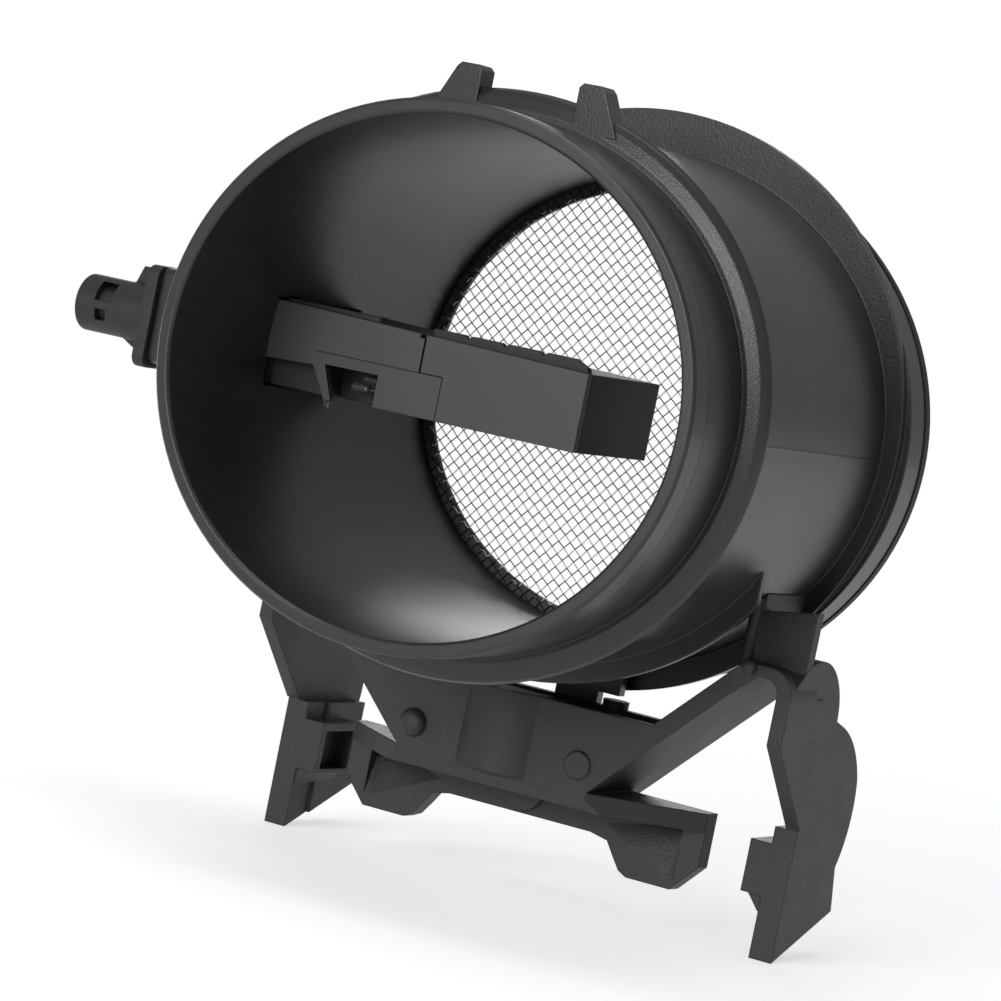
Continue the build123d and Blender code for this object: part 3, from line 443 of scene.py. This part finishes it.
def addPiece(name, build, look, edge=None):
    # finish a piece built in place: outward faces, softened edges or smooth shading, material and slot
    bmesh.ops.recalc_face_normals(build, faces=build.faces)
    mesh = bpy.data.meshes.new(name)
    build.to_mesh(mesh)
    build.free()
    mesh.materials.append(finishes[look])
    piece = bpy.data.objects.new(name, mesh)
    bpy.context.collection.objects.link(piece)
    if edge is None:
        mesh.shade_smooth()
    else:
        soft = piece.modifiers.new("softEdge", "BEVEL")
        soft.width = edge["width"]
        soft.segments = edge["segments"]
        soft.limit_method = "ANGLE"
        soft.angle_limit = math.radians(edge["sharpness"])
    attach(piece, "root")


# Rim of the probe's plate, which stands proud of the neck it closes
rim = {
    "outside": 21.05 * mm,      # of its outer face from the barrel's end
    "inside": 23.5 * mm,
    "middle": (43.5 * mm, -0.75 * mm),
    "half": (16.5 * mm, 8.85 * mm),
    "corner": 2.0 * mm,
    "cornerSteps": 6,
    "edge": {"width": 0.35 * mm, "segments": 3, "sharpness": 50.0},     # in degrees between faces
}


def plateRim():
    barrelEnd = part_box("sensor_body")[0].x
    outline = []
    for quarter, (right, up) in enumerate(((1, 1), (-1, 1), (-1, -1), (1, -1))):
        for step in range(rim["cornerSteps"] + 1):
            angle = math.radians(90.0 * (quarter + step / rim["cornerSteps"]))
            y = rim["middle"][0] + right * (rim["half"][0] - rim["corner"]) + rim["corner"] * math.cos(angle)
            z = rim["middle"][1] + up * (rim["half"][1] - rim["corner"]) + rim["corner"] * math.sin(angle)
            outline.append((y, z))
    build = bmesh.new()
    rings = []
    for x in (barrelEnd + rim["outside"], barrelEnd + rim["inside"]):
        rings.append([build.verts.new((x, y, z)) for y, z in outline])
    for ring in rings:
        build.faces.new(ring)
    joinRings(build, rings)
    addPiece("plateRim", build, "tray", rim["edge"])


plateRim()

# Domed button on the bracket's left, and the small one on its right arch, both facing the hose end
domes = {
    "leftButton": {"place": (-16.1 * mm, 52.5 * mm, -60.0 * mm), "radius": 2.5 * mm, "height": 1.9 * mm},
    "archButton": {"place": (43.2 * mm, 52.5 * mm, -36.9 * mm), "radius": 1.2 * mm, "height": 0.9 * mm},
}
domeShape = {"sides": 40, "rings": 8, "sunk": 0.3 * mm, "fullness": 2.6}


def domeButton(name, dome):
    steps = [math.sin(math.pi / 2 * step / domeShape["rings"]) for step in range(1, domeShape["rings"] + 1)]
    fullness = domeShape["fullness"]
    heights = [dome["height"] * (1.0 - step ** fullness) ** (1.0 / fullness) for step in steps]
    sections = [(dome["radius"] * step, height) for step, height in zip(steps, heights)]
    sections.append((dome["radius"], -domeShape["sunk"]))
    x0, y0, z0 = dome["place"]
    build = bmesh.new()
    top = build.verts.new((x0, y0 - dome["height"], z0))
    rings = []
    for radius, height in sections:
        around = circle(domeShape["sides"], radius)
        rings.append([build.verts.new((x0 + x, y0 - height, z0 + z)) for x, z in around])
    for here, corner in enumerate(rings[0]):
        build.faces.new((top, corner, rings[0][(here + 1) % domeShape["sides"]]))
    joinRings(build, rings)
    build.faces.new(rings[-1])
    addPiece(name, build, "bracket")


for domeName, dome in domes.items():
    domeButton(domeName, dome)

# Pin under the slanted leg beside the probe's air window, with a softened foot
windowPin = {
    "place": (-33.0 * mm, 31.0 * mm),
    "top": -7.6 * mm,
    "foot": -9.5 * mm,
    "radius": 0.55 * mm,
    "round": 0.15 * mm,
    "sides": 24,
}


def addWindowPin():
    x0, y0 = windowPin["place"]
    radius = windowPin["radius"]
    build = bmesh.new()
    rings = []
    for reach, z in ((radius, windowPin["top"]), (radius, windowPin["foot"] + windowPin["round"]),
                     (radius - windowPin["round"], windowPin["foot"])):
        rings.append([build.verts.new((x0 + x, y0 + y, z)) for x, y in circle(windowPin["sides"], reach)])
    joinRings(build, rings)
    build.faces.new(rings[0])
    build.faces.new(rings[-1])
    addPiece("windowPin", build, "probe")


addWindowPin()
print("rim, buttons and pin made")


def addCamera():
    turn = math.radians(camera["turn"])
    height = math.radians(camera["height"])
    lean = math.radians(camera["lean"])
    back = Vector((math.sin(turn) * math.cos(height), -math.cos(turn) * math.cos(height), math.sin(height)))
    level = Vector((math.cos(turn), math.sin(turn), 0.0))
    upright = back.cross(level)
    right = level * math.cos(lean) + upright * math.sin(lean)
    up = upright * math.cos(lean) - level * math.sin(lean)
    data = bpy.data.cameras.new("photoCamera")
    data.sensor_width = camera["sensor"]
    data.lens = camera["lens"]
    data.clip_start = camera["nearest"]
    holder = bpy.data.objects.new("photoCamera", data)
    axes = Matrix((right, up, back)).transposed().to_4x4()
    holder.matrix_world = Matrix.Translation(camera["place"]) @ axes
    bpy.context.collection.objects.link(holder)
    bpy.context.scene.camera = holder


def addLamps():
    for name, lamp in lamps.items():
        data = bpy.data.lights.new(name, "AREA")
        data.shape = "DISK"
        data.size = lamp["size"]
        data.energy = lamp["power"]
        holder = bpy.data.objects.new(name, data)
        holder.visible_camera = False
        holder.location = lamp["place"]
        aim = Vector(lamp["aim"]) - Vector(lamp["place"])
        holder.rotation_euler = aim.to_track_quat("-Z", "Y").to_euler()
        bpy.context.collection.objects.link(holder)


def rayMasks(graph):
    # 1 for rays from the camera, or through glass, and 1 for rays that a gloss throws
    path = graph.node("ShaderNodeLightPath").outputs()
    shown = path["Is Camera Ray"].math("MAXIMUM", path["Is Transmission Ray"])
    return shown, path["Is Glossy Ray"]


def addRoom():
    world = bpy.data.worlds.new("studio")
    bpy.context.scene.world = world
    world.use_nodes = True
    air = Graph("studioAir", world.node_tree)
    shown, glossy = rayMasks(air)
    strength = room["ambient"] + shown * (1.0 - room["ambient"]) + glossy * (room["gloss"] - room["ambient"])
    glow = air.node("ShaderNodeBackground", {}, {"Color": white, "Strength": strength})
    air.node("ShaderNodeOutputWorld", {}, {"Surface": glow})


def addFloor():
    lowest = cadBox[0][2]
    reach = ground["reach"]
    mesh = bpy.data.meshes.new("floor")
    corners = [(x * reach, y * reach, lowest) for x, y in ((-1, -1), (1, -1), (1, 1), (-1, 1))]
    mesh.from_pydata(corners, [], [(0, 1, 2, 3)])
    floor = bpy.data.objects.new("floor", mesh)
    bpy.context.collection.objects.link(floor)
    graph = Graph("paleFloor")
    shown, glossy = rayMasks(graph)
    place = graph.axes(graph.place())
    away = (place["X"] ** 2.0 + place["Y"] ** 2.0) ** 0.5
    clear = ((away - ground["near"]) / (ground["far"] - ground["near"])).clamped()
    strength = shown * (clear * (1.0 - ground["glow"]) + ground["glow"] - ground["lift"]) + ground["lift"]
    strength = strength + glossy * (ground["gloss"] - ground["lift"]) * clear
    paint = graph.blend(clear, ground["color"], ground["faded"])
    cover = graph.node("ShaderNodeBsdfDiffuse", {}, {"Color": paint})
    glow = graph.node("ShaderNodeEmission", {}, {"Color": white, "Strength": strength})
    mesh.materials.append(graph.surface(graph.node("ShaderNodeAddShader", {}, {0: cover, 1: glow})))


addCamera()
addLamps()
addRoom()
addFloor()
bpy.context.scene.view_settings.view_transform = "Standard"
print("stage set")
